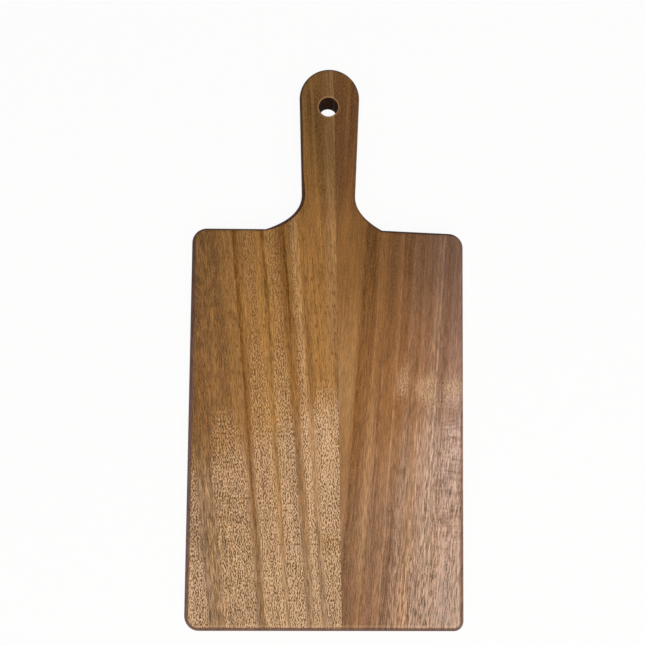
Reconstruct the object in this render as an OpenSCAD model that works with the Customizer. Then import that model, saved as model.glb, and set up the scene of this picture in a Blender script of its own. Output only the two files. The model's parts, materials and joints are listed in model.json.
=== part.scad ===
// Paddle serving board: two hardwood staves glued edge to edge, cut to one paddle outline,
// with a flared handle, a drilled hanging hole and every outer edge rounded over.
// The board lies on its underside with the handle towards +Y and the serving face up.

/* [Body] */
// Width across the body
body_width = 203; // [170:1:260]
// Length of the body from the foot to the neck end of the shoulders
body_length = 293.5; // [240:0.5:360]
// Thickness of the planed staves
thickness = 19; // [15:0.5:26]
// Radius of the left corner at the foot
left_foot_r = 11; // [7:0.5:24]
// Radius of the right corner at the foot
right_foot_r = 7.5; // [7:0.5:24]
// Radius of the two corners at the shoulders
shoulder_r = 11; // [7:0.5:24]
// Drop of the left shoulder from the neck to the side
left_shoulder_fall = 0.2; // [0:0.1:5]
// Drop of the right shoulder from the neck to the side
right_shoulder_fall = 2.2; // [0:0.1:5]
// Radius of the round-over on the outer edges
edge_round = 3.2; // [1.5:0.1:4.5]

/* [Handle] */
// Length of the handle beyond the body
handle_length = 123; // [95:1:170]
// Width across the rounded end of the handle
handle_end_width = 45.4; // [40:0.2:60]
// Width of the neck, the narrowest place of the handle
neck_width = 40.4; // [32:0.2:48]
// Height of the left neck curve above the shoulder
left_curve_rise = 27; // [16:0.5:34]
// Height of the right neck curve above the shoulder
right_curve_rise = 26; // [16:0.5:34]
// Reach of the left neck curve along the shoulder
left_curve_reach = 26.6; // [14:0.2:36]
// Reach of the right neck curve along the shoulder
right_curve_reach = 20.4; // [14:0.2:36]
// Slope in degrees where the left neck curve lands on the shoulder
left_landing_angle = 19; // [6:1:36]
// Slope in degrees where the right neck curve lands on the shoulder
right_landing_angle = 29; // [6:1:36]

/* [Hanging hole] */
// Diameter of the drilled hole
hole_d = 14; // [8:0.5:18]
// Distance from the centre of the hole to the end of the handle
hole_from_end = 30; // [24:0.5:44]
// Place of the hole across the handle, from the centre line
hole_offset = -0.7; // [-3:0.1:3]
// Radius of the eased rims of the hole
hole_rim_r = 1; // [0.5:0.1:2]

/* [Glue joint] */
// Place of the glue line at the foot, from the centre line
seam_at_foot = 12.7; // [-30:0.5:30]
// Place of the glue line at the end of the handle, from the centre line
seam_at_end = 3.2; // [-10:0.2:10]
// Thickness of the cured glue
glue_t = 0.15; // [0.1:0.05:0.4]

/* [Smoothness] */
// Steps round each corner of the body
corner_steps = 10; // [6:1:20]
// Steps along each neck curve
curve_steps = 14; // [8:1:24]
// Steps round the end of the handle
end_steps = 40; // [24:2:64]
// Steps across each rounded edge
edge_steps = 6; // [4:1:10]

/* [Hidden] */
$fn = 96;

// Length of every cut past the face that it leaves
overrun = 2;
// Width of the flat margin of the rounded border, which laps over the edge of the blank
border_lap = 1.6;
// Outline landmarks, with the middle of the overall length on the X axis
overall_length = body_length + handle_length;
foot_y = -overall_length / 2;
end_y = overall_length / 2;
neck_y = foot_y + body_length;
half_width = body_width / 2;
half_neck = neck_width / 2;
end_r = handle_end_width / 2;
end_centre = [0, end_y - end_r];
hole_r = hole_d / 2;
// Tilt of the two straight sides of the handle, which run tangent into its round end
left_flare = flare(left_curve_rise);
right_flare = flare(right_curve_rise);

// Points of a circular arc about c, from angle a to angle b
function arc(c, r, a, b, steps) = [
    for (i = [0 : steps])
        let (t = a + (b - a) * i / steps)
        c + r * [cos(t), sin(t)]
];

// Points of a smooth curve from p to q, with both end tangents through m
function curve(p, m, q, steps) = [
    for (i = [0 : steps])
        let (t = i / steps)
        pow(1 - t, 2) * p + 2 * t * (1 - t) * m + pow(t, 2) * q
];

// Angle between the centre line and a handle side that leaves a neck curve of this rise
function flare(rise) =
    let (drop = end_centre.y - neck_y - rise)
    atan2(drop, half_neck) - acos(end_r / norm([half_neck, drop]));

// One side of the outline, drawn for the right: shoulder corner, shoulder and neck curve
function flank(fall, rise, reach, landing, lean) =
    let (
        land = [half_neck + reach, neck_y],
        tilt = atan2(fall, half_width - land.x),
        run = half_width - shoulder_r - land.x,
        corner_y = neck_y - (shoulder_r + run * sin(tilt)) / cos(tilt),
        neck = [half_neck, neck_y + rise],
        slope = tan(landing),
        skew = tan(lean),
        knee_x = (half_neck - skew * rise + skew * slope * land.x) / (1 + skew * slope),
        knee = [knee_x, neck_y + slope * (land.x - knee_x)]
    )
    concat(
        arc([half_width - shoulder_r, corner_y], shoulder_r, 0, 90 - tilt, corner_steps),
        curve(land, knee, neck, curve_steps)
    );

// The same points on the other side, in the order that keeps the outline anticlockwise
function mirrored(points) = [for (i = [len(points) - 1 : -1 : 0]) [-points[i].x, points[i].y]];

function outline() = concat(
    arc([left_foot_r - half_width, foot_y + left_foot_r], left_foot_r, 180, 270, corner_steps),
    arc([half_width - right_foot_r, foot_y + right_foot_r], right_foot_r, 270, 360, corner_steps),
    flank(right_shoulder_fall, right_curve_rise, right_curve_reach, right_landing_angle, right_flare),
    arc(end_centre, end_r, -right_flare, 180 + left_flare, end_steps),
    mirrored(flank(left_shoulder_fall, left_curve_rise, left_curve_reach, left_landing_angle, left_flare))
);

// Inward step at each outline point that moves both edges beside it by one unit
function inward(p) = [
    for (i = [0 : len(p) - 1])
        let (
            before = p[i] - p[(i + len(p) - 1) % len(p)],
            after = p[(i + 1) % len(p)] - p[i],
            a = [-before.y, before.x] / norm(before),
            b = [-after.y, after.x] / norm(after)
        )
        (a + b) / (1 + a * b)
];

// Inset and height of each layer of the border, from the underside to the serving face
function edge_layers() = concat(
    [[edge_round + border_lap, 0]],
    [for (i = [0 : edge_steps]) edge_round * [1 - sin(90 * i / edge_steps), 1 - cos(90 * i / edge_steps)]],
    [
        for (i = [edge_steps : -1 : 0])
            [0, thickness] + edge_round * [1 - sin(90 * i / edge_steps), cos(90 * i / edge_steps) - 1]
    ],
    [[edge_round + border_lap, thickness]]
);

// Outline points moved inward by one layer's inset
function inset(path, step, distance) = [for (i = [0 : len(path) - 1]) path[i] + distance * step[i]];

// The rounded border, lofted round the board from layer to layer and closed by an upright inner wall
module border(path, step) {
    layers = edge_layers();
    count = len(path);
    rows = len(layers);
    points = [
        for (layer = layers)
            for (p = inset(path, step, layer[0]))
                [p.x, p.y, layer[1]]
    ];
    faces = [
        for (k = [0 : rows - 1])
            for (i = [0 : count - 1])
                let (j = (i + 1) % count, above = (k + 1) % rows)
                [k * count + i, above * count + i, above * count + j, k * count + j]
    ];
    polyhedron(points, faces, convexity = 6);
}

// The whole paddle: the flat blank, lapped by its rounded border
module paddle() {
    path = outline();
    step = inward(path);
    linear_extrude(thickness)
        polygon(inset(path, step, edge_round + border_lap / 2));
    border(path, step);
}

// Half profile of the hole: a straight wall with a rounded rim at each face
module hole_profile() {
    translate([0, -overrun])
        square([hole_r, thickness + 2 * overrun]);
    rim_profile();
    translate([0, thickness])
        mirror([0, 1])
            rim_profile();
}

// The cove that rounds one rim, with its face at zero
module rim_profile() {
    translate([hole_r, -overrun])
        difference() {
            square([hole_rim_r, hole_rim_r + overrun]);
            translate([hole_rim_r, hole_rim_r + overrun])
                circle(hole_rim_r);
        }
}

module hanging_hole() {
    translate([hole_offset, end_y - hole_from_end])
        rotate_extrude()
            hole_profile();
}

// Place across the board of the seam, shifted from its middle, at a distance along the board
function seam_x(y, shift) =
    seam_at_foot + (seam_at_end - seam_at_foot) * (y - foot_y) / overall_length + shift;

// The strip of the board between two lines, each given by its place at the foot and at the end
module strip(from_foot, from_end, to_foot, to_end) {
    translate([0, 0, -overrun])
        linear_extrude(thickness + 2 * overrun)
            polygon([
                [from_foot, foot_y - overrun],
                [to_foot, foot_y - overrun],
                [to_end, end_y + overrun],
                [from_end, end_y + overrun]
            ]);
}

// What one strip takes from the drilled paddle
module sawn(from_foot, from_end, to_foot, to_end) {
    difference() {
        intersection() {
            paddle();
            strip(from_foot, from_end, to_foot, to_end);
        }
        hanging_hole();
    }
}

// Places of the two glued edges where the strips begin and end
left_foot = seam_x(foot_y - overrun, -glue_t / 2);
left_end = seam_x(end_y + overrun, -glue_t / 2);
right_foot = seam_x(foot_y - overrun, glue_t / 2);
right_end = seam_x(end_y + overrun, glue_t / 2);
outside = half_width + overrun;

module left_stave() {
    color("#94683c")
        sawn(-outside, -outside, left_foot, left_end);
}

module right_stave() {
    color("#7d5236")
        sawn(right_foot, right_end, outside, outside);
}

module glue_line() {
    color("#4a2f1c")
        sawn(left_foot, left_end, right_foot, right_end);
}

left_stave();
right_stave();
glue_line();
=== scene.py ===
"""Paddle serving board: two oiled hardwood staves, glued edge to edge, with a drilled hanging hole.

The paddle is lofted from its outline, drilled, and sawn apart at the seam. Each stave then gets solid
procedural wood, so that the grain runs on through the faces, the rounded edges and the end grain.
"""

import json
import math
from typing import NamedTuple

import bmesh
import bpy
from bpy.props import FloatProperty, FloatVectorProperty, IntProperty, PointerProperty
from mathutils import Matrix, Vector


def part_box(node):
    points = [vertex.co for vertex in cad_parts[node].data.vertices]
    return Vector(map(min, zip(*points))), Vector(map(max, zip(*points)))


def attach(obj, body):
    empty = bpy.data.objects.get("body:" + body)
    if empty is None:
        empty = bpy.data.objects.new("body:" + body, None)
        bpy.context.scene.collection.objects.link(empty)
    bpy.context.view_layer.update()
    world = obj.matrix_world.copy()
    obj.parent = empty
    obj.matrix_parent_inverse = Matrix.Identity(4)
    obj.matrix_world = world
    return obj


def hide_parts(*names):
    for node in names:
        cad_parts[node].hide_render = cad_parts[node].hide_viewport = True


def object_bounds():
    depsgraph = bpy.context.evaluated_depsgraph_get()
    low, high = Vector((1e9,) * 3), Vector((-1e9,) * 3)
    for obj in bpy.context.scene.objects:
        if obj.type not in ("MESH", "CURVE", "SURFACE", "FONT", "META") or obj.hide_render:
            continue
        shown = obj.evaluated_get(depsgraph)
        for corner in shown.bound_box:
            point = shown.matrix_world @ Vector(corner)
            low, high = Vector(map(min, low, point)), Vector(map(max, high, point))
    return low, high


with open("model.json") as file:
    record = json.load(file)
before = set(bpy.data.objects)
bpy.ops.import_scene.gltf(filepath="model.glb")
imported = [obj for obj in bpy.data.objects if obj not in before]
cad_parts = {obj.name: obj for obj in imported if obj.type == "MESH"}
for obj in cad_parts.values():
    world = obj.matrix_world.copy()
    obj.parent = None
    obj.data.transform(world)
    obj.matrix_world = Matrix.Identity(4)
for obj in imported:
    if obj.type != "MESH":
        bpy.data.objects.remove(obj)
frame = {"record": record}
CAD_LOW, CAD_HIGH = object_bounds()

bl_info = {
    "name": "Paddle Serving Board",
    "version": (1, 0, 0),
    "blender": (4, 5, 0),
    "location": "View3D > Sidebar > Serving Board",
    "description": "Builds a glued hardwood paddle board with its wood finishes and stage",
    "category": "Object",
}

MM = 0.001
DEGREE = math.pi / 180
BODY = "root"
SEAM_LOW, SEAM_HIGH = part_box("glue_line")
HOLE = next(m for m in frame["record"]["mounts"] if m["name"] == "hanging_hole")

# How far from the saw plane a corner still counts as on it, in metres
SAW_TOLERANCE = 1e-7
# Edges that turn more than this stay crisp
SHARP_ANGLE = 40 * DEGREE
# Faces whose normal is less upright than this belong to a wall or a rim
FLAT_NORMAL = 0.9
# Share of the hole's rim, from the bore outwards, that shows drilled wood
BORED_SHARE = 0.3
# The floor, in metres: its inner rings, its flat part, the sweep round that and the wall
FLOOR_RINGS = (0.3, 0.8)
FLOOR_RADIUS, SWEEP_RADIUS, WALL_HEIGHT = 1.5, 0.8, 2.4
# Steps up the sweep and round the floor
SWEEP_STEPS, FLOOR_SIDES = 12, 64
# Width of the camera's sensor in millimetres, and the nearest distance that it sees in metres
SENSOR_WIDTH, NEAREST = 36.0, 0.01


def number(name, description, default, **options):
    """A plain value, with its unit, subtype or limits."""
    return FloatProperty(name=name, description=description, default=default, **options)


def length(name, description, millimetres, least=0.0):
    """A size or a place, shown in the scene's length unit."""
    return number(name, description, millimetres * MM, unit="LENGTH", min=least)


def share(name, description, default, most=1.0):
    """A plain strength or share."""
    return number(name, description, default, min=0.0, max=most)


def count(name, description, default, least):
    """A number of steps."""
    return IntProperty(name=name, description=description, default=default, min=least)


def several(name, description, default, **options):
    """A place, a turn, a colour or the sides of a lamp."""
    return FloatVectorProperty(
        name=name, description=description, default=default, size=len(default), **options
    )


def colour(name, description, tone):
    """A finish colour, given as the hex tone that it shows."""
    return several(name, description, linear(tone), min=0.0, max=1.0, subtype="COLOR")


def linear(tone):
    """Linear red, green and blue of a hex tone."""
    parts = [int(tone[i : i + 2], 16) / 255 for i in (1, 3, 5)]
    return tuple(p / 12.92 if p <= 0.04045 else ((p + 0.055) / 1.055) ** 2.4 for p in parts)


class BoardSizes(bpy.types.PropertyGroup):
    """Sizes of the paddle."""

    body_width: length("Body width", "Width across the body", (CAD_HIGH.x - CAD_LOW.x) / MM)
    overall_length: length(
        "Overall length", "Length from the foot to the end of the handle", (CAD_HIGH.y - CAD_LOW.y) / MM
    )
    thickness: length("Thickness", "Thickness of the planed staves", (CAD_HIGH.z - CAD_LOW.z) / MM)
    body_length: length("Body length", "Length from the foot to the neck end of the shoulders", 293.5)
    left_foot_r: length("Left foot corner", "Radius of the left corner at the foot", 11)
    right_foot_r: length("Right foot corner", "Radius of the right corner at the foot", 7.5)
    shoulder_r: length("Shoulder corners", "Radius of the two corners at the shoulders", 11)
    left_fall: length("Left shoulder fall", "Drop of the left shoulder from the neck to the side", 0.2)
    right_fall: length("Right shoulder fall", "Drop of the right shoulder from the neck to the side", 2.2)
    edge_round: length("Edge round-over", "Radius of the round-over on the outer edges", 3.2)
    end_width: length("Handle end width", "Width across the rounded end of the handle", 45.4)
    neck_width: length("Neck width", "Width of the narrowest place of the handle", 40.4)
    left_rise: length("Left curve rise", "Height of the left neck curve above the shoulder", 27)
    right_rise: length("Right curve rise", "Height of the right neck curve above the shoulder", 26)
    left_reach: length("Left curve reach", "Reach of the left neck curve along the shoulder", 26.6)
    right_reach: length("Right curve reach", "Reach of the right neck curve along the shoulder", 20.4)
    left_landing: number(
        "Left landing", "Slope where the left neck curve lands", 19 * DEGREE, subtype="ANGLE"
    )
    right_landing: number(
        "Right landing", "Slope where the right neck curve lands", 29 * DEGREE, subtype="ANGLE"
    )
    hole_r: length("Hole radius", "Radius of the drilled hanging hole", HOLE["dims"]["r_mm"])
    hole_x: length("Hole across", "Place of the hole across the handle", HOLE["pos_m"][0] / MM, -1.0)
    hole_y: length("Hole along", "Place of the hole along the board", HOLE["pos_m"][1] / MM, -1.0)
    hole_rim_r: length("Hole rim", "Radius of the eased rims of the hole", 1)
    glue_t: length("Glue thickness", "Thickness of the cured glue", 0.15)
    corner_steps: count("Corner steps", "Steps round each corner of the body", 14, 4)
    curve_steps: count("Curve steps", "Steps along each neck curve", 28, 6)
    end_steps: count("End steps", "Steps round the end of the handle", 72, 12)
    edge_steps: count("Edge steps", "Steps across each rounded edge", 8, 3)
    hole_steps: count("Hole steps", "Steps round the hanging hole", 96, 24)


class BoardFinish(bpy.types.PropertyGroup):
    """Colours and surface of the oiled wood and the glue."""

    left_deep: colour("Left deep tone", "Dark early wood of the left stave", "#906432")
    left_mid: colour("Left main tone", "Main tone of the left stave", "#a7783d")
    left_pale: colour("Left pale tone", "Pale bands of the left stave", "#b28447")
    left_side: colour("Left side tone", "Tone towards the outer side of the left stave", "#7c5832")
    right_deep: colour("Right deep tone", "Dark bands of the right stave", "#845630")
    right_mid: colour("Right main tone", "Main tone of the right stave", "#98683a")
    right_pale: colour("Right pale tone", "Pale bands of the right stave", "#a87642")
    right_side: colour("Right side tone", "Tone towards the outer side of the right stave", "#a07c6c")
    heart: colour("Heart tone", "Golden strip of the right stave beside the seam", "#ae8452")
    heart_top: colour("Heart at the neck", "Deep golden wood beside the seam near the handle", "#b47f42")
    streak: colour("Streak tone", "Dark resin streaks along the grain", "#744602")
    # The bright tone also paints the highlight line by the foot, the highlight on the hole's rim, the
    # glints and part of the sheen on the bright pores
    bright: colour("Bright line tone", "Pale lines along the grain", "#dfb788")
    pore: colour("Pore tone", "Open pores filled with oil", "#6a3f08")
    # The edge tones are painted shade on the rounded edges, over wood that the oil darkens: the lighter,
    # purplish one also paints a reflection on the edges that face left and the foot
    edge: colour("Edge tone", "Sanded edges that are burnished by handling", "#6a514c")
    edge_shade: colour("Dark edge tone", "Edges soaked with oil", "#38241a")
    # The bore tone is very dark: browned end grain soaked with oil, and painted shade inside the hole
    bore: colour("Bore tone", "Drilled wood, browned by the bit and soaked with oil", "#38230f")
    glue: colour("Glue tone", "Cured glue in the seam", "#4a2f1c")
    roughness: share("Roughness", "Mean roughness of the bare wood", 0.5)
    base_gloss: share("Base gloss", "Gloss of the bare wood below the oil film", 0.12)
    bore_gloss: share("Bore gloss", "Gloss of the drilled wood inside the hole", 0.1)
    film_roughness: share("Film roughness", "Roughness of the oil film", 0.2)
    film_index: share("Film index", "Refractive index of the oil film", 1.6, 3.0)
    relief: share("Relief", "Strength of the open grain", 0.25)


class BoardStage(bpy.types.PropertyGroup):
    """Floor, lamps and camera."""

    floor: colour("Floor", "Tone of the floor and the sweep behind it", "#f4f4f4")
    white_share: share("White share", "Share of plain white that the floor shows", 0.94)
    key_power: number("Key lamp", "Power of the broad lamp over the foot", 14.0, min=0.0, unit="POWER")
    key_place: several("Key place", "Place of the key lamp", (0.05, -0.68, 1.3), subtype="TRANSLATION")
    key_size: several("Key size", "Width and depth of the key lamp", (1.7, 1.0), unit="LENGTH")
    side_power: number("Side lamp", "Power of the narrow lamp on the right", 2.5, min=0.0, unit="POWER")
    side_place: several("Side place", "Place of the side lamp", (0.5, -0.5, 1.1), subtype="TRANSLATION")
    side_size: several("Side size", "Width and depth of the side lamp", (0.45, 0.9), unit="LENGTH")
    lamp_light: several("Lamp light", "Warm colour of both lamps", (1.0, 0.92, 0.84), subtype="COLOR")
    room: share("Room light", "Strength of the even light of the room", 0.32)
    room_light: several("Room colour", "Colour of the room's light", (1.0, 0.98, 0.96), subtype="COLOR")
    lens: number("Lens", "Focal length of the camera in millimetres", 26.79, min=0.0, unit="CAMERA")
    camera_place: several(
        "Camera place", "Place over the board", (-0.00882, 0.00024, 0.37361), subtype="TRANSLATION"
    )
    camera_turn: several(
        "Camera turn",
        "Turn of the camera from looking straight down",
        (2.443 * DEGREE, -0.872 * DEGREE, 0.575 * DEGREE),
        subtype="EULER",
    )


# Outline and solids


def arc(centre, radius, start, end, steps):
    """Points of a circular arc."""
    turns = [start + (end - start) * i / steps for i in range(steps + 1)]
    return [centre + radius * Vector((math.cos(t), math.sin(t))) for t in turns]


def sweep_curve(start, knee, end, steps):
    """Points of a smooth curve whose end tangents meet at the knee."""
    shares = [i / steps for i in range(steps + 1)]
    return [(1 - t) ** 2 * start + 2 * t * (1 - t) * knee + t**2 * end for t in shares]


def handle_flare(sizes, rise):
    """Angle between the centre line and the handle side above a neck curve of this rise."""
    half_neck, end_r = sizes.neck_width / 2, sizes.end_width / 2
    drop = sizes.overall_length - sizes.body_length - end_r - rise
    return math.atan2(drop, half_neck) - math.acos(end_r / math.hypot(half_neck, drop))


def flank(sizes, fall, rise, reach, landing):
    """One side of the outline, drawn for the right: shoulder corner, shoulder and neck curve."""
    half_width, half_neck = sizes.body_width / 2, sizes.neck_width / 2
    neck_y = sizes.body_length - sizes.overall_length / 2
    land = Vector((half_neck + reach, neck_y))
    tilt = math.atan2(fall, half_width - land.x)
    run = half_width - sizes.shoulder_r - land.x
    corner_y = neck_y - (sizes.shoulder_r + run * math.sin(tilt)) / math.cos(tilt)
    corner = Vector((half_width - sizes.shoulder_r, corner_y))
    slope, skew = math.tan(landing), math.tan(handle_flare(sizes, rise))
    knee_x = (half_neck - skew * rise + skew * slope * land.x) / (1 + skew * slope)
    knee = Vector((knee_x, neck_y + slope * (land.x - knee_x)))
    neck = Vector((half_neck, neck_y + rise))
    return arc(corner, sizes.shoulder_r, 0, math.pi / 2 - tilt, sizes.corner_steps) + sweep_curve(
        land, knee, neck, sizes.curve_steps
    )


def paddle_outline(sizes):
    """The whole outline, anticlockwise from the left side of the foot."""
    half_width, foot_y = sizes.body_width / 2, -sizes.overall_length / 2
    left_r, right_r, end_r = sizes.left_foot_r, sizes.right_foot_r, sizes.end_width / 2
    left = flank(sizes, sizes.left_fall, sizes.left_rise, sizes.left_reach, sizes.left_landing)
    right = flank(sizes, sizes.right_fall, sizes.right_rise, sizes.right_reach, sizes.right_landing)
    left_foot = Vector((left_r - half_width, foot_y + left_r))
    right_foot = Vector((half_width - right_r, foot_y + right_r))
    end_centre = Vector((0, -foot_y - end_r))
    from_angle = -handle_flare(sizes, sizes.right_rise)
    to_angle = math.pi + handle_flare(sizes, sizes.left_rise)
    return (
        arc(left_foot, left_r, math.pi, 1.5 * math.pi, sizes.corner_steps)
        + arc(right_foot, right_r, 1.5 * math.pi, 2 * math.pi, sizes.corner_steps)
        + right
        + arc(end_centre, end_r, from_angle, to_angle, sizes.end_steps)
        + [Vector((-p.x, p.y)) for p in reversed(left)]
    )


def inward_steps(points):
    """At each point, the inward step that moves both edges beside it by one unit."""
    steps = []
    for i, point in enumerate(points):
        before = (point - points[i - 1]).normalized()
        after = (points[(i + 1) % len(points)] - point).normalized()
        a, b = Vector((-before.y, before.x)), Vector((-after.y, after.x))
        steps.append((a + b) / (1 + a.dot(b)))
    return steps


def loft(mesh, rings):
    """Joins closed rings of corners with quads, one after the other."""
    for lower, upper in zip(rings, rings[1:]):
        for i, corner in enumerate(lower):
            j = (i + 1) % len(lower)
            mesh.faces.new((corner, lower[j], upper[j], upper[i]))


def round_rings(mesh, profile, sides, x=0.0, y=0.0):
    """Closed rings of corners about an upright axis, one for each radius and height of the profile."""
    turns = [2 * math.pi * i / sides for i in range(sides)]
    return [
        [mesh.verts.new((x + radius * math.cos(t), y + radius * math.sin(t), height)) for t in turns]
        for radius, height in profile
    ]


def ring_edges(mesh, ring):
    """The edges along one closed ring."""
    return [mesh.edges.get((corner, ring[i - 1])) for i, corner in enumerate(ring)]


def shape_paddle(sizes):
    """The whole board as one closed mesh: rounded border, flat faces and the hole with eased rims."""
    mesh = bmesh.new()
    path = paddle_outline(sizes)
    inward = inward_steps(path)
    turns = [math.pi / 2 * i / sizes.edge_steps for i in range(sizes.edge_steps + 1)]
    edge, rim, top = sizes.edge_round, sizes.hole_rim_r, sizes.thickness
    under = [(edge * (1 - math.sin(t)), edge * (1 - math.cos(t))) for t in turns]
    layers = under + [(inset, top - height) for inset, height in reversed(under)]
    border = [
        [mesh.verts.new((*(p + inset * step), height)) for p, step in zip(path, inward)]
        for inset, height in layers
    ]
    loft(mesh, border)

    cove = [(sizes.hole_r + rim * (1 - math.sin(t)), rim * (1 - math.cos(t))) for t in turns]
    wall = cove + [(radius, top - height) for radius, height in reversed(cove)]
    bore = round_rings(mesh, wall, sizes.hole_steps, sizes.hole_x, sizes.hole_y)
    loft(mesh, bore)
    for outer, inner in ((border[0], bore[0]), (border[-1], bore[-1])):
        edges = ring_edges(mesh, outer) + ring_edges(mesh, inner)
        bmesh.ops.triangle_fill(mesh, edges=edges, use_beauty=True)
    bmesh.ops.recalc_face_normals(mesh, faces=mesh.faces)
    return mesh


def saw(mesh, place, away):
    """Saws the mesh along an upright plane, drops the side that away points to and closes the cut."""
    everything = list(mesh.verts) + list(mesh.edges) + list(mesh.faces)
    bmesh.ops.bisect_plane(
        mesh, geom=everything, dist=SAW_TOLERANCE, plane_co=place, plane_no=away, clear_outer=True
    )
    bmesh.ops.holes_fill(mesh, edges=[e for e in mesh.edges if e.is_boundary], sides=0)
    bmesh.ops.recalc_face_normals(mesh, faces=mesh.faces)


def seam_plane(sizes):
    """A point on the seam and the seam's direction across the board."""
    half = sizes.glue_t / 2
    foot = Vector((SEAM_HIGH.x - half, SEAM_LOW.y, 0))
    end = Vector((SEAM_LOW.x + half, SEAM_HIGH.y, 0))
    along = (end - foot).normalized()
    return foot, Vector((along.y, -along.x, 0))


def smooth_object(name, mesh, materials):
    """A smooth object made from the mesh, with its materials, in the scene."""
    data = bpy.data.meshes.new(name)
    mesh.to_mesh(data)
    mesh.free()
    data.shade_smooth()
    for material in materials:
        data.materials.append(material)
    made = bpy.data.objects.new(name, data)
    bpy.context.scene.collection.objects.link(made)
    return made


def finish_piece(name, mesh, materials, node, sizes):
    """Makes the piece from its mesh, smooth with crisp sawn edges, in the place of its CAD node."""
    if any(not edge.is_manifold for edge in mesh.edges):
        raise RuntimeError(f"{name} is not a closed solid")
    hole = Vector((sizes.hole_x, sizes.hole_y))
    bored_r = sizes.hole_r + BORED_SHARE * sizes.hole_rim_r
    for face in mesh.faces:
        away = (face.calc_center_median().xy - hole).length
        bored = abs(face.normal.z) < FLAT_NORMAL and away < bored_r
        face.material_index = int(bored and len(materials) > 1)
    piece = smooth_object(name, mesh, materials)
    piece.data.set_sharp_from_angle(angle=SHARP_ANGLE)
    flat_faces = piece.modifiers.new("flat faces", "WEIGHTED_NORMAL")
    flat_faces.keep_sharp = True
    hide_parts(node)
    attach(piece, BODY)


# Shading helpers


class Sheet:
    """Adds nodes to one node tree; a value is a number, a colour or the output of another node."""

    ROWS = 7
    STEP = (230, -210)

    def __init__(self, tree):
        self.tree = tree

    def node(self, kind, inputs=(), **settings):
        made = self.tree.nodes.new(kind)
        column, row = divmod(len(self.tree.nodes) - 1, self.ROWS)
        made.location = (self.STEP[0] * column, self.STEP[1] * row)
        for key, value in settings.items():
            setattr(made, key, value)
        for key, value in dict(inputs).items():
            self.feed(made.inputs[key], value)
        return made

    def feed(self, socket, value):
        if isinstance(value, bpy.types.NodeSocket):
            self.tree.links.new(value, socket)
        elif socket.type == "RGBA":
            socket.default_value = (*value[:3], 1.0)
        else:
            socket.default_value = value

    def feed_all(self, sockets, **values):
        """Feeds sockets by name, with an underscore for each space."""
        for key, value in values.items():
            self.feed(sockets[key.replace("_", " ")], value)

    def math(self, operation, *values, clamp=False):
        inputs = enumerate(values)
        return self.node("ShaderNodeMath", inputs, operation=operation, use_clamp=clamp).outputs[0]

    def chain(self, operation, values):
        """One operation over all the values, from the first to the last."""
        result = values[0]
        for value in values[1:]:
            result = self.math(operation, result, value)
        return result

    def sum(self, *values):
        return self.chain("ADD", values)

    def times(self, *values):
        return self.chain("MULTIPLY", values)

    def most(self, *values):
        return self.chain("MAXIMUM", values)

    def minus(self, value, other):
        return self.math("SUBTRACT", value, other)

    def rest(self, value):
        """What is left of one."""
        return self.minus(1.0, value)

    def scaled(self, value, factor, base):
        """The value times a factor, on top of a base."""
        return self.math("MULTIPLY_ADD", value, factor, base)

    def vary(self, base, value, amount):
        """The base, raised or lowered as the value lies above or below one half."""
        return self.scaled(self.minus(value, 0.5), amount, base)

    def distance(self, across, along):
        return self.math("SQRT", self.scaled(across, across, self.times(along, along)))

    def step(self, value, low, high, from_share=0.0, to_share=1.0):
        """A soft step of the value from low to high."""
        inputs = {"Value": value, "From Min": low, "From Max": high}
        inputs.update({"To Min": from_share, "To Max": to_share})
        return self.node("ShaderNodeMapRange", inputs, interpolation_type="SMOOTHSTEP").outputs[0]

    def between(self, value, rise, fall):
        """A soft rise of the value and then a soft fall."""
        return self.times(self.step(value, *rise), self.step(value, *fall))

    def stretch(self, vector, factors):
        return self.node("ShaderNodeVectorMath", {0: vector, 1: factors}, operation="MULTIPLY").outputs[0]

    def parts(self, vector):
        return self.node("ShaderNodeSeparateXYZ", {0: vector}).outputs

    def place(self):
        """The shaded point, in metres from the middle of the board."""
        return self.node("ShaderNodeTexCoord").outputs["Object"]

    def noise(self, vector, factors, detail=2.0, roughness=0.5, distortion=0.0):
        inputs = {
            "Vector": self.stretch(vector, factors),
            "Scale": 1.0,
            "Detail": detail,
            "Roughness": roughness,
            "Distortion": distortion,
        }
        return self.node("ShaderNodeTexNoise", inputs, noise_dimensions="3D").outputs[0]

    def blend(self, amount, a, b):
        return self.node("ShaderNodeMix", {0: amount, 6: a, 7: b}, data_type="RGBA").outputs[2]

    def dim(self, tone, value):
        """The tone made lighter or darker by a value about one."""
        return self.node("ShaderNodeHueSaturation", {"Color": tone, "Value": value}).outputs[0]

    def group(self, name, **inputs):
        made = self.node("ShaderNodeGroup", node_tree=bpy.data.node_groups[name])
        self.feed_all(made.inputs, **inputs)
        return made.outputs


def start_group(name, inputs, values, vectors=()):
    """A new node group with its named inputs and outputs: its sheet, input sockets and output sockets."""
    tree = bpy.data.node_groups.new(name, "ShaderNodeTree")
    for label, default in inputs.items():
        kind = "NodeSocketVector" if default is None else "NodeSocketFloat"
        socket = tree.interface.new_socket(name=label, in_out="INPUT", socket_type=kind)
        if default is not None:
            socket.default_value = default
    for kind, labels in (("NodeSocketFloat", values), ("NodeSocketVector", vectors)):
        for label in labels:
            tree.interface.new_socket(name=label, in_out="OUTPUT", socket_type=kind)
    sheet = Sheet(tree)
    inlet = sheet.node("NodeGroupInput").outputs
    outlet = sheet.node("NodeGroupOutput").inputs
    return sheet, inlet, outlet


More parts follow.
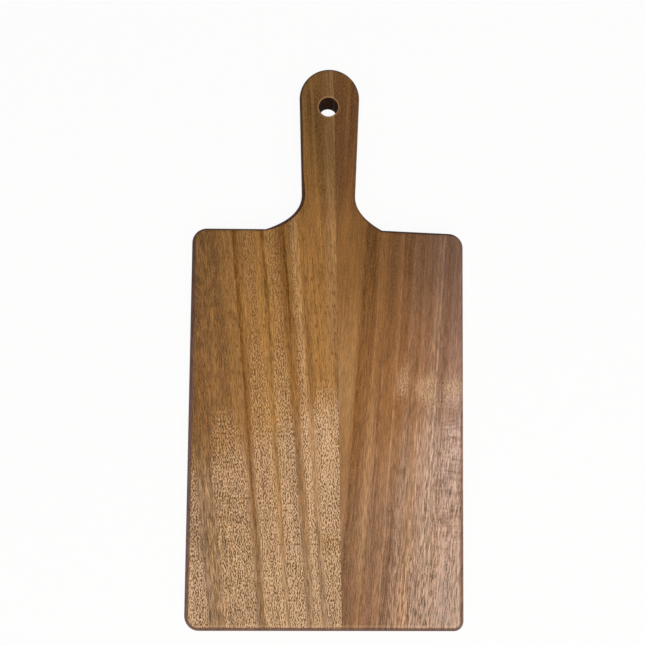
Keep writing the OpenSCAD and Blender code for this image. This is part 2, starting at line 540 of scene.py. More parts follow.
# Grain: lengths in millimetres, and noise in waves per millimetre across, along and through it
PER_METRE = (1000, 1000, 1000)
SHOULDER_LINE = 84.0
FACE_HEIGHT = 19.0
SLOW_SWAY = (0.010, 0.012, 0.02)
QUICK_SWAY = (0.04, 0.05, 0.04)
QUICK_SHARE = 0.35
FIBRIL_GRAIN = (1.7, 0.16, 1.5)
FIBRIL_STEP = (0.48, 0.70)
STROKE_GRAIN = (1.5, 0.12, 1.3)
STROKE_STEP = (0.34, 0.66)
DASH_GRAIN = (1.2, 0.20, 1.1)
DASH_STEP = (0.34, 0.26)
LINE_GRAIN = (0.45, 0.007, 0.4)
BAND_GRAIN = (0.11, 0.004, 0.08)
WEAVE_GRAIN = (0.14, 0.28, 0.1)
WEAVE_SWING = 6.0
PORE_SPACING = 1.9
PORE_GRAIN = (1.1, 0.58, 1.0)
PORE_RIDGE = 0.14
DARK_PORE_STEP = (0.40, 0.26)
BRIGHT_PORE_STEP = (0.44, 0.64)
RIPPLE_GRAIN = (0.09, 0.36, 0.09)
PATCH_GRAIN = (0.06, 0.018, 0.05)


def build_grain_flow():
    """Coordinates that follow the grain, in millimetres: across the growth bands, along and through."""
    inputs = {"Place": None, "Lean": 0.07, "Spread": 0.0, "Bend": 0.0, "Wander": 1.5, "Slant": 0.3}
    sheet, inlet, outlet = start_group("Grain flow", inputs, ("Across", "Along"), ("Flow",))
    place = sheet.stretch(inlet["Place"], PER_METRE)
    x, y, z = sheet.parts(place)
    down = sheet.minus(SHOULDER_LINE, y)
    leaned = sheet.minus(x, sheet.times(inlet["Lean"], down))
    spread = sheet.math("DIVIDE", leaned, sheet.rest(sheet.times(inlet["Spread"], down)))
    bent = sheet.scaled(sheet.times(inlet["Bend"], down), down, spread)
    slow = sheet.minus(sheet.noise(place, SLOW_SWAY, detail=1.0), 0.5)
    sway = sheet.vary(slow, sheet.noise(place, QUICK_SWAY, detail=1.0), QUICK_SHARE)
    swayed = sheet.scaled(sway, inlet["Wander"], bent)
    across = sheet.scaled(sheet.minus(FACE_HEIGHT, z), inlet["Slant"], swayed)
    flow = sheet.node("ShaderNodeCombineXYZ", {0: across, 1: y, 2: z}).outputs[0]
    sheet.feed_all(outlet, Across=across, Along=y, Flow=flow)


def build_streak():
    """One streak along the grain, soft to either side and at both ends."""
    inputs = {"Across": 0.0, "Along": 0.0, "Centre": 0.0, "Left": 1.0, "Right": 1.0}
    inputs.update({"Foot end": -400.0, "Handle end": 400.0, "Fade": 50.0})
    sheet, inlet, outlet = start_group("Streak", inputs, ("Mask",))
    centre, fade = inlet["Centre"], inlet["Fade"]
    start = sheet.minus(centre, inlet["Left"])
    end = sheet.sum(centre, inlet["Right"])
    foot = sheet.sum(inlet["Foot end"], fade)
    handle = sheet.minus(inlet["Handle end"], fade)
    over = sheet.between(inlet["Across"], (start, centre), (end, centre))
    lasting = sheet.between(inlet["Along"], (inlet["Foot end"], foot), (inlet["Handle end"], handle))
    sheet.feed_all(outlet, Mask=sheet.times(over, lasting))


def build_fibre():
    """Pale fibrils, fine strokes, dark dashes, long lines and broad growth bands along the grain."""
    labels = ("Fibrils", "Fine", "Dashes", "Lines", "Bands")
    sheet, inlet, outlet = start_group("Fibre", {"Flow": None}, labels)
    flow = inlet["Flow"]
    sheet.feed_all(
        outlet,
        Fibrils=sheet.step(sheet.noise(flow, FIBRIL_GRAIN, detail=0.0), *FIBRIL_STEP),
        Fine=sheet.step(sheet.noise(flow, STROKE_GRAIN, detail=1.0, roughness=0.6), *STROKE_STEP),
        Dashes=sheet.step(sheet.noise(flow, DASH_GRAIN, detail=0.0), *DASH_STEP),
        Lines=sheet.noise(flow, LINE_GRAIN, detail=3.0, roughness=0.7),
        Bands=sheet.noise(flow, BAND_GRAIN),
    )


def build_pore_flecks():
    """Wavy open pores, cut through by the saw: dark pores and the bright wood between them."""
    sheet, inlet, outlet = start_group("Pore flecks", {"Flow": None}, ("Dark", "Bright"))
    flow = inlet["Flow"]
    woven = sheet.vary(sheet.parts(flow)[0], sheet.noise(flow, WEAVE_GRAIN, detail=1.0), WEAVE_SWING)
    ridge = sheet.math("SINE", sheet.times(woven, 2 * math.pi / PORE_SPACING))
    worm = sheet.scaled(ridge, PORE_RIDGE, sheet.noise(flow, PORE_GRAIN, detail=0.0))
    dark = sheet.step(worm, *DARK_PORE_STEP)
    sheet.feed_all(outlet, Dark=dark, Bright=sheet.step(worm, *BRIGHT_PORE_STEP))


def build_cross_figure():
    """Shimmer across the grain, where the fibres rise and fall."""
    sheet, inlet, outlet = start_group("Cross figure", {"Flow": None}, ("Ripple", "Patch"))
    ripple = sheet.noise(inlet["Flow"], RIPPLE_GRAIN, distortion=0.6)
    sheet.feed_all(outlet, Ripple=ripple, Patch=sheet.noise(inlet["Flow"], PATCH_GRAIN))


# Painted shade on the edges, a painted highlight line by the foot and the hole's rims: places in metres,
# facings as parts of the level normal, tilts from flat at 0 to upright at 1, and the reach of the hole's
# rim in rim radii; a third and fourth number are the step's two shares
BELOW_SHOULDERS = (0.105, 0.060)
SHADE_LEFT, SHADE_FOOT = -0.55, -0.83
SHADE_FACING = (-0.3, 0.3)
LOWER_SIDE = (-0.05, -0.16, 0.0, 0.5)
FOOT_REACH = (0.0, 0.006)
STRIP_INSET = (0.0042, 0.0030)
LINE_INSET = ((0.0036, 0.0043), (0.0058, 0.0050))
NECK_ALONG = ((0.078, 0.088), (0.130, 0.112))
NECK_FACING = (-0.1, -0.5)
RIGHT_FACING = (0.3, 0.8, 1.0, 0.3)
RIM_REACH = (1.8, 1.0)
NARROW_TILT = (0.040, 0.160)
BROADER_TILT = (-0.036, -0.148)
WALL_TILT = (0.95, 0.45, 0.2, 1.0)
STRIP_TILT = (0.75, 0.45)
SHADE_ALONG = (0.08, -0.06, 0.5, 1.0)
LINE_ACROSS = (-0.02, 0.06, 0.5, 1.0)
LINE_ALONG = (-0.10, -0.19)


def build_eased_edge():
    """Painted shade on the rounded edges, a painted highlight line by the foot, and the rims of the hole.
    """
    inputs = {"Place": None, "Side": 0.1, "Foot": -0.2, "Left corner": 0.01, "Right corner": 0.01}
    inputs.update({"Hole across": 0.0, "Hole along": 0.0, "Hole radius": 0.007, "Rim": 0.001})
    sheet, inlet, outlet = start_group("Eased edge", inputs, ("Edge", "Worn", "Line", "Rim"))
    normal = sheet.node("ShaderNodeNewGeometry").outputs["Normal"]
    tilt = sheet.rest(sheet.math("ABSOLUTE", sheet.parts(normal)[2]))
    level = sheet.stretch(normal, (1, 1, 0))
    outward = sheet.node("ShaderNodeVectorMath", {0: level}, operation="NORMALIZE").outputs[0]
    to_right, to_handle, _ = sheet.parts(outward)
    x, y, _ = sheet.parts(inlet["Place"])

    # Painted shade: a wider band on edges that face left and the foot and round the left neck curve, and
    # a weaker one on edges that face right
    facing_shade = sheet.scaled(to_right, SHADE_LEFT, sheet.times(to_handle, SHADE_FOOT))
    below = sheet.step(y, *BELOW_SHOULDERS)
    shaded_facing = sheet.times(sheet.step(facing_shade, *SHADE_FACING), below)
    neck = sheet.times(sheet.step(to_right, *NECK_FACING), sheet.between(y, *NECK_ALONG))
    broad = sheet.most(shaded_facing, neck)
    start, full = (sheet.scaled(broad, more, tilted) for more, tilted in zip(BROADER_TILT, NARROW_TILT))
    rounded = sheet.times(sheet.step(tilt, start, full), sheet.step(tilt, *WALL_TILT))
    eased = sheet.times(rounded, sheet.step(to_right, *RIGHT_FACING))

    # A painted shade strip on the flat face, just inside the round-over along the left side and the foot
    on_left = sheet.math("LESS_THAN", x, 0.0)
    wider = sheet.minus(inlet["Left corner"], inlet["Right corner"])
    corner = sheet.scaled(on_left, wider, inlet["Right corner"])
    past_side = sheet.minus(sheet.sum(sheet.math("ABSOLUTE", x), corner), inlet["Side"])
    past_foot = sheet.minus(sheet.sum(inlet["Foot"], corner), y)
    inset = sheet.minus(corner, sheet.distance(sheet.most(past_side, 0.0), sheet.most(past_foot, 0.0)))
    along_foot = sheet.most(sheet.step(y, *LOWER_SIDE), sheet.step(past_foot, *FOOT_REACH))
    left_and_foot = sheet.times(sheet.most(on_left, along_foot), below)
    shade_strip = sheet.times(sheet.step(inset, *STRIP_INSET), left_and_foot, sheet.step(tilt, *STRIP_TILT))

    # The hole's rims, which get a painted highlight and no edge shade
    across = sheet.minus(x, inlet["Hole across"])
    along = sheet.minus(y, inlet["Hole along"])
    away = sheet.minus(sheet.distance(across, along), inlet["Hole radius"])
    near = sheet.step(sheet.math("DIVIDE", away, inlet["Rim"]), *RIM_REACH)
    # A painted highlight line on the flat face by the foot, stronger on the right
    near_foot = sheet.times(sheet.step(y, *LINE_ALONG), sheet.step(x, *LINE_ACROSS))
    sheet.feed_all(
        outlet,
        Edge=sheet.times(sheet.most(eased, shade_strip), sheet.rest(near)),
        Worn=sheet.times(sheet.most(shaded_facing, left_and_foot), sheet.step(y, *SHADE_ALONG)),
        Line=sheet.times(sheet.between(inset, *LINE_INSET), left_and_foot, near_foot),
        Rim=near,
    )


def shared_groups():
    """Builds the shared effects once."""
    if "Grain flow" in bpy.data.node_groups:
        return
    build_grain_flow()
    build_streak()
    build_fibre()
    build_pore_flecks()
    build_cross_figure()
    build_eased_edge()


def empty_material(name):
    """A new material with no nodes, and its sheet."""
    material = bpy.data.materials.new(name)
    material.use_nodes = True
    material.node_tree.nodes.clear()
    return material, Sheet(material.node_tree)


def start_material(name):
    """A new material: its sheet and the inputs of its shader."""
    material, sheet = empty_material(name)
    shader = sheet.node("ShaderNodeBsdfPrincipled")
    sheet.node("ShaderNodeOutputMaterial", {"Surface": shader.outputs[0]})
    return material, sheet, shader.inputs


class Mark(NamedTuple):
    """A streak or patch of the wood, in millimetres across the grain and along the board."""

    centre: float
    left: float
    right: float
    strength: float
    foot_end: float = -400
    handle_end: float = 400
    fade: float = 50


def marks(sheet, flow, rows):
    """The strongest of several streaks or patches."""
    masks = []
    for mark in rows:
        sides = {"Centre": mark.centre, "Left": mark.left, "Right": mark.right}
        ends = {"Foot_end": mark.foot_end, "Handle_end": mark.handle_end, "Fade": mark.fade}
        streak = sheet.group("Streak", Across=flow["Across"], Along=flow["Along"], **sides, **ends)
        masks.append(sheet.times(streak["Mask"], mark.strength))
    return sheet.most(*masks)


class Figure(NamedTuple):
    """The figure of one stave: its grain, its rows of marks, and where it gleams.

    A pair named along or across holds the two places of a soft step, and a pair of shares what it
    gives at each of them.
    """

    grain: dict
    dark: tuple
    bright: tuple
    gleaming: tuple
    glints: tuple
    dull: tuple
    flecks: tuple
    fibrils: tuple
    ripples: tuple
    fine_shares: tuple
    line_share: float
    gleam_skew: float
    gleam_along: tuple
    gleam_across: tuple
    gleam_shares: tuple
    handle_along: tuple
    handle_shade: float
    pore_share: float
    dash_share: float
    heart_across: tuple
    heart_along: tuple
    heart_shares: tuple
    foot_shade: float
    seam_bright: tuple = ()


LEFT_FIGURE = Figure(
    grain={"Lean": 0.072, "Spread": 0.0003, "Bend": 0, "Wander": 1.6, "Slant": 0.35},
    dark=(
        Mark(-71.5, 1.1, 2.9, 1.3, -215, 400, 170), Mark(-70, 2, 8, 0.28, -190, 400, 140),
        Mark(-70.6, 2.2, 3.6, 0.9, -40, 400, 80), Mark(-49, 4, 2.2, 0.85, -70, 400, 110),
        Mark(-33, 5, 1.5, 1.15, -50, 400, 100), Mark(-34, 8, 2, 0.35, -110, 400, 120),
        Mark(-13, 0.7, 0.9, 0.5, -40, 75, 20), Mark(-64, 1.2, 1.6, 0.2), Mark(-88, 1.2, 3, 0.1),
        Mark(-10, 12, 12, 0.2, -156, -136, 9), Mark(-115, 16, 24, 0.42, -85, -5, 30),
    ),
    bright=(
        Mark(-74.5, 2, 2, 0.12), Mark(-25.5, 4.5, 4.5, 0.34), Mark(-10, 14, 14, 0.18, -125, -35, 30),
        Mark(-60, 90, 90, 0.2, -400, -90, 90), Mark(-107, 10, 10, 0.2, -400, -50, 60),
        Mark(-74, 5, 6, 0.26, -400, -110, 60),
    ),
    gleaming=(
        Mark(-44, 3, 8, 0.3, -190, 400, 60), Mark(-27, 3, 2.5, 0.35, -140, 0, 30),
        Mark(-12, 10, 12, 0.25, -140, -40, 20), Mark(-2, 2, 3, 0.4, -75, -30, 15),
        Mark(-80, 110, 110, 0.08, -400, -130, 60), Mark(-134, 20, 34, 0.4, -400, -120, 60),
    ),
    glints=(Mark(-44, 4, 7, 0.5, -60, -20, 18),),
    dull=(
        Mark(-71.5, 4, 4, 0.9), Mark(-51.5, 4, 4, 0.7, -240, 400, 140),
        Mark(-33.5, 4, 3.5, 0.8, -240, 400, 140), Mark(-33, 6, 6, 0.55, -165, -95, 20),
        Mark(-23.5, 1.8, 1.8, 0.55), Mark(-33.5, 4, 4, 0.5), Mark(-60, 8, 8, 0.14, -400, -130, 40),
        Mark(-15, 15, 14, 0.6, -154, -136, 7), Mark(-107, 7, 8, 0.45),
    ),
    flecks=(
        Mark(-128, 30, 18, 4, -400, -36, 60), Mark(-89, 15, 18, 3.5, -400, -36, 60),
        Mark(-60, 10, 9.5, 4, -400, 20, 80), Mark(-61, 9, 9, 0.5), Mark(-42.5, 9, 8, 4, -400, 20, 80),
        Mark(-42.5, 8, 8, 0.6), Mark(-27, 5, 5, 1.6, -400, 40, 80), Mark(-27.5, 4.5, 4, 0.65),
        Mark(-10, 13, 13, 4, -400, -20, 40),
    ),
    fibrils=(
        Mark(-100, 40, 40, 0.9, -400, 140, 60), Mark(-45, 70, 50, 0.5, -400, 140, 60),
    ),
    ripples=(Mark(-90, 24, 20, 1, -190, -20, 50),),
    fine_shares=(0.4, 0.46),
    line_share=0.95,
    gleam_skew=0.5,
    gleam_along=(-24, -54),
    gleam_across=(-120, -20),
    gleam_shares=(0.46, 0.66),
    handle_along=(10, 180),
    handle_shade=0.52,
    pore_share=0.15,
    dash_share=0.72,
    heart_across=(-36, -20),
    heart_along=(-10, 70),
    heart_shares=(0, 0.35),
    foot_shade=0.7,
    seam_bright=(Mark(1, 5, 40, 0.19, -70, 400, 140),),
)
RIGHT_FIGURE = Figure(
    grain={"Lean": -0.056, "Spread": 0, "Bend": 0.00004, "Wander": 1.6, "Slant": -0.35},
    dark=(
        Mark(31, 3, 12, 0.45), Mark(35.5, 5, 5, 0.85, -60, 400, 120), Mark(29.5, 1.4, 5, 0.8),
        Mark(44, 0.8, 1.8, 0.2), Mark(51, 0.7, 1.4, 0.18), Mark(59.5, 1.4, 6, 0.45),
        Mark(63, 5, 6, 0.45, 10, 400, 50), Mark(79, 4, 4, 0.35, -20, 70, 30), Mark(71.5, 0.9, 4, 0.45),
        Mark(79, 0.9, 1.6, 0.2), Mark(92.5, 2.5, 4, 0.4),
    ),
    bright=(
        Mark(40.5, 0.6, 1, 0.22, -150, 120, 90), Mark(47.5, 0.6, 0.9, 0.2, -200, 60, 90),
        Mark(57.3, 0.8, 0.9, 0.16), Mark(67, 2.5, 2.5, 0.12), Mark(42, 8, 7, 0.24, -200, -10, 60),
        Mark(87.5, 1.2, 1.2, 0.4, -200, 180, 90), Mark(84.5, 4, 4, 0.2, -200, 180, 90),
    ),
    gleaming=(
        Mark(68, 3, 3, 0.15, -400, 0, 30), Mark(87.5, 3, 2, 0.35, -400, 60, 60),
        Mark(104, 40, 60, 0.58, -400, -130, 60),
    ),
    glints=(
        Mark(64, 9, 5, 1.6, -44, -12, 16), Mark(82, 15, 8, 1.5, -47, -17, 14),
        Mark(102, 13, 16, 1.3, -46, -20, 12),
    ),
    dull=(
        Mark(95, 3, 3, 0.35), Mark(74, 2.5, 2, 0.3), Mark(62, 2, 2, 0.3),
        Mark(100, 14, 14, 0.65, -62, -42, 8),
    ),
    flecks=(
        Mark(100, 34, 34, 0.2, -400, 0, 60), Mark(64, 9, 6, 0.4, -52, 0, 20),
        Mark(90, 22, 26, 0.4, -56, -18, 12),
    ),
    fibrils=(
        Mark(90, 60, 60, 1.2, -400, -90, 80), Mark(95, 60, 60, 0.8, -400, 0, 100),
        Mark(80, 60, 60, 0.5, -400, 60, 80),
    ),
    ripples=(Mark(104, 18, 30, 1.2, -180, -25, 40),),
    fine_shares=(0.34, 0.36),
    line_share=0.95,
    gleam_skew=0.8,
    gleam_along=(-85, -160),
    gleam_across=(34, 112),
    gleam_shares=(0.22, 0.85),
    handle_along=(-30, 80),
    handle_shade=0.6,
    pore_share=0.12,
    dash_share=0.2,
    heart_across=(28.5, 25.5),
    heart_along=(-130, -10),
    heart_shares=(0.3, 0.9),
    foot_shade=0.85,
)


# Oil film: what each part of the figure adds to its gleam
REACH_SHARES = (0.06, 1.0)
RIPPLE_GLEAM = 2.0
GLINT_GLEAM = 0.45
FIBRIL_GLEAM, PLAIN_GLEAM = 1.1, 0.9
FINE_GLEAM = 0.8
LINE_GLEAM = 1.2
PORE_GLEAM, PORE_MEAN = 0.8, 0.45
HOLLOW_SHARE = 1.8


def gleam(sheet, flow, fibre, pores, figure, open_share, ripple, fibrils, glints):
    """Share of the oil film that shines, which follows the slope of the fibres."""
    start = sheet.scaled(flow["Across"], -figure.gleam_skew, flow["Along"])
    reached = sheet.step(start, *figure.gleam_along, *REACH_SHARES)
    level = sheet.step(flow["Across"], *figure.gleam_across, *figure.gleam_shares)
    lifted = sheet.sum(level, marks(sheet, flow, figure.gleaming))
    broad = sheet.times(lifted, reached, sheet.rest(marks(sheet, flow, figure.dull)))
    rippled = sheet.times(broad, sheet.scaled(ripple, RIPPLE_GLEAM, 1.0))
    shining = sheet.scaled(glints, GLINT_GLEAM, rippled)
    short = sheet.scaled(fibrils, FIBRIL_GLEAM, PLAIN_GLEAM)
    fine = sheet.vary(short, fibre["Fine"], FINE_GLEAM)
    lined = sheet.vary(fine, fibre["Lines"], LINE_GLEAM)
    sparkle = sheet.times(sheet.minus(pores["Bright"], PORE_MEAN), open_share)
    sparkling = sheet.scaled(sparkle, PORE_GLEAM, lined)
    hollow = sheet.math("MULTIPLY", pores["Dark"], sheet.times(open_share, HOLLOW_SHARE), clamp=True)
    return sheet.math("MULTIPLY", sheet.times(shining, sheet.rest(hollow)), sparkling, clamp=True)


# Wood tones: steps of the figure and along the board in millimetres, with their shares, and strengths
DEEP_BANDS = (0.30, 0.52)
PALE_BANDS = (0.48, 0.72)
OUTER_METRES = (0.040, 0.105)
SIDE_ALONG = (-185, -50, 0.15, 0.9)
NECK_END = (130, 80)
HEART_CHANGE = (-40, 60)
RAGGED_SHARES = (0.5, 1.1)
FRAYED_SHARES = (1.05, 0.6)
SEAM_GRAIN = {"Lean": 0.0228, "Wander": 0.6, "Slant": 0.0}
FOOT_ALONG = (-30, -190, 1.0)
FINE_ALONG = (-60, 130)
FIBRIL_MEAN, FIBRIL_SHARE = 0.25, 0.66
HEART_CALM = -0.4
PATCH_SHARE = 0.35
PATCHY_PORES = (0.34, 0.50, 0.72, 1.0)
BRIGHT_PORES_AND_SHEEN, DARK_PORES = 0.62, 0.66
GLINT_BREAK, GLINT_PLAIN, PAINTED_GLINT = 0.6, 0.4, 0.45
DASH_ALONG = (-100, -20, 0.30, 1.0)
EDGE_UNEVEN, EDGE_PLAIN = 0.6, 0.7
EDGE_SHADE_SHARE, HIGHLIGHT_SHARE, RIM_HIGHLIGHT_SHARE = 0.9, 0.42, 0.20
FINE_ROUGH, PORE_ROUGH = 0.16, 0.2
FINE_HEIGHT = 0.4
RELIEF_METRES = 0.0002


def oiled_wood(name, sizes, finish, tones, figure):
    """Solid oiled wood with the figure of one stave. Tones are deep, main, pale and side."""
    material, sheet, shader = start_material(name)
    deep, main_tone, pale, side = tones
    place = sheet.place()
    flow = sheet.group("Grain flow", Place=place, **figure.grain)
    across, along = flow["Across"], flow["Along"]
    fibre = sheet.group("Fibre", Flow=flow["Flow"])
    pores = sheet.group("Pore flecks", Flow=flow["Flow"])
    cross = sheet.group("Cross figure", Flow=flow["Flow"])
    edges = sheet.group(
        "Eased edge",
        Place=place,
        Side=sizes.body_width / 2,
        Foot=-sizes.overall_length / 2,
        Left_corner=sizes.left_foot_r,
        Right_corner=sizes.right_foot_r,
        Hole_across=sizes.hole_x,
        Hole_along=sizes.hole_y,
        Hole_radius=sizes.hole_r,
        Rim=sizes.hole_rim_r,
    )

    tone = sheet.blend(sheet.step(fibre["Bands"], *DEEP_BANDS), deep, main_tone)
    tone = sheet.blend(sheet.step(fibre["Bands"], *PALE_BANDS), tone, pale)
    outer = sheet.step(sheet.math("ABSOLUTE", sheet.parts(place)[0]), *OUTER_METRES)
    tone = sheet.blend(sheet.times(outer, sheet.step(along, *SIDE_ALONG)), tone, side)
    above_foot = sheet.step(along, *figure.heart_along, *figure.heart_shares)
    beside_seam = sheet.step(across, *figure.heart_across)
    golden = sheet.times(beside_seam, sheet.step(along, *NECK_END), above_foot)
    heart = sheet.blend(sheet.step(along, *HEART_CHANGE), finish.heart, finish.heart_top)
    tone = sheet.blend(golden, tone, heart)
    ragged = sheet.step(fibre["Fine"], 0.0, 1.0, *RAGGED_SHARES)
    tone = sheet.blend(sheet.times(marks(sheet, flow, figure.bright), ragged), tone, finish.bright)
    if figure.seam_bright:
        seam_flow = sheet.group("Grain flow", Place=place, **SEAM_GRAIN)
        tone = sheet.blend(marks(sheet, seam_flow, figure.seam_bright), tone, finish.bright)
    frayed = sheet.step(fibre["Fine"], 0.0, 1.0, *FRAYED_SHARES)
    tone = sheet.blend(sheet.times(marks(sheet, flow, figure.dark), frayed), tone, finish.streak)

    # Painted shade: the tone is darker towards the handle and a little darker towards the foot
    shade_to_handle = sheet.step(along, *figure.handle_along, 1.0, figure.handle_shade)
    shade_to_foot = sheet.step(along, *FOOT_ALONG, figure.foot_shade)
    smooth = sheet.times(shade_to_handle, shade_to_handle)
    calm = sheet.times(sheet.step(along, *FINE_ALONG, *figure.fine_shares), smooth)
    hairs = sheet.minus(fibre["Fibrils"], FIBRIL_MEAN)
    fibrils = sheet.times(hairs, marks(sheet, flow, figure.fibrils))
    short = sheet.scaled(fibrils, FIBRIL_SHARE, sheet.times(shade_to_handle, shade_to_foot))
    fine = sheet.vary(short, fibre["Fine"], calm)
    lines = sheet.vary(fine, fibre["Lines"], sheet.scaled(golden, HEART_CALM, figure.line_share))
    patch = sheet.vary(lines, cross["Patch"], PATCH_SHARE)
    ripple = sheet.times(sheet.minus(cross["Ripple"], 0.5), marks(sheet, flow, figure.ripples))
    tone = sheet.dim(tone, sheet.sum(ripple, patch))

    row_share = sheet.math("MINIMUM", marks(sheet, flow, figure.flecks), 1.0)
    flecked = sheet.times(row_share, sheet.step(cross["Patch"], *PATCHY_PORES))
    open_share = sheet.most(flecked, figure.pore_share)
    # The bright wood between the pores: partly paler wood, partly painted sheen
    tone = sheet.blend(sheet.times(pores["Bright"], open_share, BRIGHT_PORES_AND_SHEEN), tone, finish.bright)
    # Glints: painted highlights, broken up by the bright pores; the oil film gleams more there as well
    glint_share = sheet.math("MINIMUM", marks(sheet, flow, figure.glints), 1.0)
    glints = sheet.times(glint_share, sheet.scaled(pores["Bright"], GLINT_BREAK, GLINT_PLAIN))
    tone = sheet.blend(sheet.times(glints, PAINTED_GLINT), tone, finish.bright)
    dashes = sheet.times(fibre["Dashes"], smooth, sheet.step(along, *DASH_ALONG), figure.dash_share)
    dark_pores = sheet.most(sheet.times(pores["Dark"], open_share, DARK_PORES), dashes)
    tone = sheet.blend(dark_pores, tone, finish.pore)

    # Painted shade on the rounded edges, with a purplish painted reflection where they face left and the
    # foot
    painted_edge_tone = sheet.blend(edges["Worn"], finish.edge_shade, finish.edge)
    painted_edge_tone = sheet.dim(painted_edge_tone, sheet.scaled(fibre["Fine"], EDGE_UNEVEN, EDGE_PLAIN))
    tone = sheet.blend(sheet.times(edges["Edge"], EDGE_SHADE_SHARE), tone, painted_edge_tone)
    # A painted highlight line by the foot
    tone = sheet.blend(sheet.times(edges["Line"], HIGHLIGHT_SHARE), tone, finish.bright)
    # A painted highlight on the hole's rim
    tone = sheet.blend(sheet.times(edges["Rim"], RIM_HIGHLIGHT_SHARE), tone, finish.bright)

    rough = sheet.vary(finish.roughness, fibre["Fine"], FINE_ROUGH)
    film = gleam(sheet, flow, fibre, pores, figure, open_share, ripple, fibrils, glints)
    height = sheet.minus(sheet.times(fibre["Fine"], FINE_HEIGHT), dark_pores)
    relief = {"Strength": finish.relief, "Distance": RELIEF_METRES, "Height": height}
    sheet.feed_all(
        shader,
        Base_Color=tone,
        Roughness=sheet.scaled(dark_pores, PORE_ROUGH, rough),
        Specular_IOR_Level=finish.base_gloss,
        Coat_Weight=sheet.times(film, sheet.rest(edges["Edge"])),
        Coat_Roughness=finish.film_roughness,
        Coat_IOR=finish.film_index,
        Normal=sheet.node("ShaderNodeBump", relief).outputs[0],
    )
    return material


# Bore and glue: noise in waves per metre, then what it does to the tone and the roughness
DRILL_RINGS = (300, 300, 1400)
RING_TONE, RING_BASE = 1.2, 0.4
RING_ROUGH, BORE_ROUGH = 0.2, 0.75
GLUE_MOTTLE = (900, 250, 900)
MOTTLE_TONE, MOTTLE_BASE = 0.8, 0.6
MOTTLE_ROUGH, GLUE_ROUGH = 0.2, 0.35


def bored_wood(finish):
    """End grain in the drilled hole, browned by the bit, matt, soaked with oil and dark with painted
    shade.
    """
    if "bored_wood" in bpy.data.materials:
        return bpy.data.materials["bored_wood"]
    material, sheet, shader = start_material("bored_wood")
    rings = sheet.noise(sheet.place(), DRILL_RINGS)
    sheet.feed_all(
        shader,
        Base_Color=sheet.dim(finish.bore, sheet.scaled(rings, RING_TONE, RING_BASE)),
        Roughness=sheet.scaled(rings, RING_ROUGH, BORE_ROUGH),
        Specular_IOR_Level=finish.bore_gloss,
    )
    return material


def cured_glue(finish):
    """Amber-brown glue, darker where the oil has soaked in."""
    material, sheet, shader = start_material("cured_glue")
    mottle = sheet.noise(sheet.place(), GLUE_MOTTLE)
    sheet.feed_all(
        shader,
        Base_Color=sheet.dim(finish.glue, sheet.scaled(mottle, MOTTLE_TONE, MOTTLE_BASE)),
        Roughness=sheet.scaled(mottle, MOTTLE_ROUGH, GLUE_ROUGH),
    )
    return material


# Operators


def build_stave(context, side, name, node, slot, tones, figure):
    """Saws one stave from the paddle and finishes it. Side is -1 left of the seam and 1 right of it."""
    sizes, finish = context.scene.board_sizes, context.scene.board_finish
    shared_groups()
    place, across = seam_plane(sizes)
    mesh = shape_paddle(sizes)
    saw(mesh, place + side * across * sizes.glue_t / 2, -side * across)
    wood = oiled_wood(slot, sizes, finish, tones, figure)
    finish_piece(name, mesh, (wood, bored_wood(finish)), node, sizes)


class BOARD_OT_left_stave(bpy.types.Operator):
    """Builds the golden stave on the left of the seam"""

    bl_idname = "board.left_stave"
    bl_label = "Left Stave"

    def execute(self, context):
        finish = context.scene.board_finish
        tones = (finish.left_deep, finish.left_mid, finish.left_pale, finish.left_side)
        build_stave(context, -1, "golden_stave", "left_stave", "golden_wood", tones, LEFT_FIGURE)
        return {"FINISHED"}


class BOARD_OT_right_stave(bpy.types.Operator):
    """Builds the red-brown stave on the right of the seam"""

    bl_idname = "board.right_stave"
    bl_label = "Right Stave"

    def execute(self, context):
        finish = context.scene.board_finish
        tones = (finish.right_deep, finish.right_mid, finish.right_pale, finish.right_side)
        build_stave(context, 1, "red_brown_stave", "right_stave", "red_brown_wood", tones, RIGHT_FIGURE)
        return {"FINISHED"}


class BOARD_OT_glue_line(bpy.types.Operator):
    """Builds the thin film of cured glue between the staves"""

    bl_idname = "board.glue_line"
    bl_label = "Glue Line"

    def execute(self, context):
        sizes, finish = context.scene.board_sizes, context.scene.board_finish
        place, across = seam_plane(sizes)
        mesh = shape_paddle(sizes)
        for side in (1, -1):
            saw(mesh, place + side * across * sizes.glue_t / 2, side * across)
        finish_piece("seam_glue", mesh, (cured_glue(finish),), "glue_line", sizes)
        return {"FINISHED"}


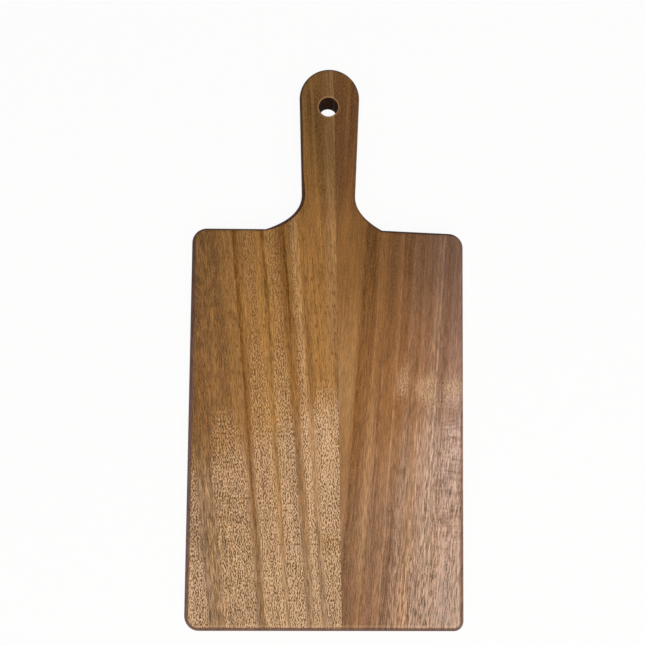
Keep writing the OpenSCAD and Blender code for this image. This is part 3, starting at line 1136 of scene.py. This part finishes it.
class BOARD_OT_stage(bpy.types.Operator):
    """Sets the pale floor, the soft lamps and the camera over the board"""

    bl_idname = "board.stage"
    bl_label = "Stage"

    def execute(self, context):
        scene, stage = context.scene, context.scene.board_stage
        scene.view_settings.view_transform = "Standard"
        self.floor(stage)
        self.soft_lamp(scene, "key_lamp", stage.key_place, stage.key_power, stage.key_size)
        self.soft_lamp(scene, "side_lamp", stage.side_place, stage.side_power, stage.side_size)
        self.room(scene, stage)
        self.camera(scene, stage)
        return {"FINISHED"}

    def floor(self, stage):
        """A round floor that sweeps up into a wall all round."""
        mesh = bmesh.new()
        turns = [math.pi / 2 * i / SWEEP_STEPS for i in range(SWEEP_STEPS + 1)]
        profile = [(radius, 0.0) for radius in FLOOR_RINGS]
        profile += [
            (FLOOR_RADIUS + SWEEP_RADIUS * math.sin(t), SWEEP_RADIUS * (1 - math.cos(t))) for t in turns
        ]
        profile.append((FLOOR_RADIUS + SWEEP_RADIUS, WALL_HEIGHT))
        rings = round_rings(mesh, profile, FLOOR_SIDES)
        loft(mesh, rings)
        mesh.faces.new(rings[0])
        bmesh.ops.recalc_face_normals(mesh, faces=mesh.faces)
        floor = smooth_object("pale_floor", mesh, (self.floor_paint(stage),))

    def floor_paint(self, stage):
        """Matt paint that shows white to the camera and in reflections, and keeps a soft shadow."""
        material, sheet = empty_material("floor_paint")
        paint = sheet.node("ShaderNodeBsdfDiffuse", {"Color": stage.floor})
        white = sheet.node("ShaderNodeEmission", {"Color": (1.0, 1.0, 1.0), "Strength": 1.0})
        rays = sheet.node("ShaderNodeLightPath").outputs
        seen = sheet.most(rays["Is Camera Ray"], rays["Is Glossy Ray"], rays["Is Transmission Ray"])
        amount = sheet.times(seen, stage.white_share)
        shown = sheet.node("ShaderNodeMixShader", {0: amount, 1: paint.outputs[0], 2: white.outputs[0]})
        sheet.node("ShaderNodeOutputMaterial", {"Surface": shown.outputs[0]})
        return material

    def soft_lamp(self, scene, name, place, power, size):
        """A flat lamp that faces straight down and is not seen by the camera."""
        data = bpy.data.lights.new(name, "AREA")
        data.shape = "RECTANGLE"
        data.size, data.size_y = size
        data.energy = power
        data.color = scene.board_stage.lamp_light
        lamp = bpy.data.objects.new(name, data)
        lamp.location = place
        lamp.visible_camera = False
        scene.collection.objects.link(lamp)

    def room(self, scene, stage):
        """The even light of the room."""
        world = bpy.data.worlds.new("room_light")
        world.use_nodes = True
        light = world.node_tree.nodes["Background"].inputs
        light["Color"].default_value = (*stage.room_light, 1.0)
        light["Strength"].default_value = stage.room
        scene.world = world

    def camera(self, scene, stage):
        """The camera, at the photograph's place over the board."""
        data = bpy.data.cameras.new("photo_camera")
        data.lens = stage.lens
        data.sensor_width = SENSOR_WIDTH
        data.clip_start = NEAREST
        camera = bpy.data.objects.new("photo_camera", data)
        camera.location = stage.camera_place
        camera.rotation_euler = stage.camera_turn
        scene.collection.objects.link(camera)
        scene.camera = camera


class BOARD_PT_sidebar(bpy.types.Panel):
    """Lists the pieces of the board, its sizes and its finish"""

    bl_idname = "BOARD_PT_sidebar"
    bl_label = "Serving Board"
    bl_space_type = "VIEW_3D"
    bl_region_type = "UI"
    bl_category = "Serving Board"

    def draw(self, context):
        layout = self.layout
        for operator in OPERATORS:
            layout.operator(operator.bl_idname)
        for group in ("board_sizes", "board_finish", "board_stage"):
            settings = getattr(context.scene, group)
            box = layout.box()
            for key in settings.__annotations__:
                box.prop(settings, key)


OPERATORS = (BOARD_OT_left_stave, BOARD_OT_right_stave, BOARD_OT_glue_line, BOARD_OT_stage)
SETTINGS = {"board_sizes": BoardSizes, "board_finish": BoardFinish, "board_stage": BoardStage}
CLASSES = (*SETTINGS.values(), *OPERATORS, BOARD_PT_sidebar)


def register():
    for cls in CLASSES:
        bpy.utils.register_class(cls)
    for key, cls in SETTINGS.items():
        setattr(bpy.types.Scene, key, PointerProperty(type=cls))


def unregister():
    for key in SETTINGS:
        delattr(bpy.types.Scene, key)
    for cls in reversed(CLASSES):
        bpy.utils.unregister_class(cls)


def main():
    register()
    bpy.ops.board.left_stave()
    bpy.ops.board.right_stave()
    bpy.ops.board.glue_line()
    bpy.ops.board.stage()
    bpy.context.view_layer.update()


if __name__ == "__main__":
    main()
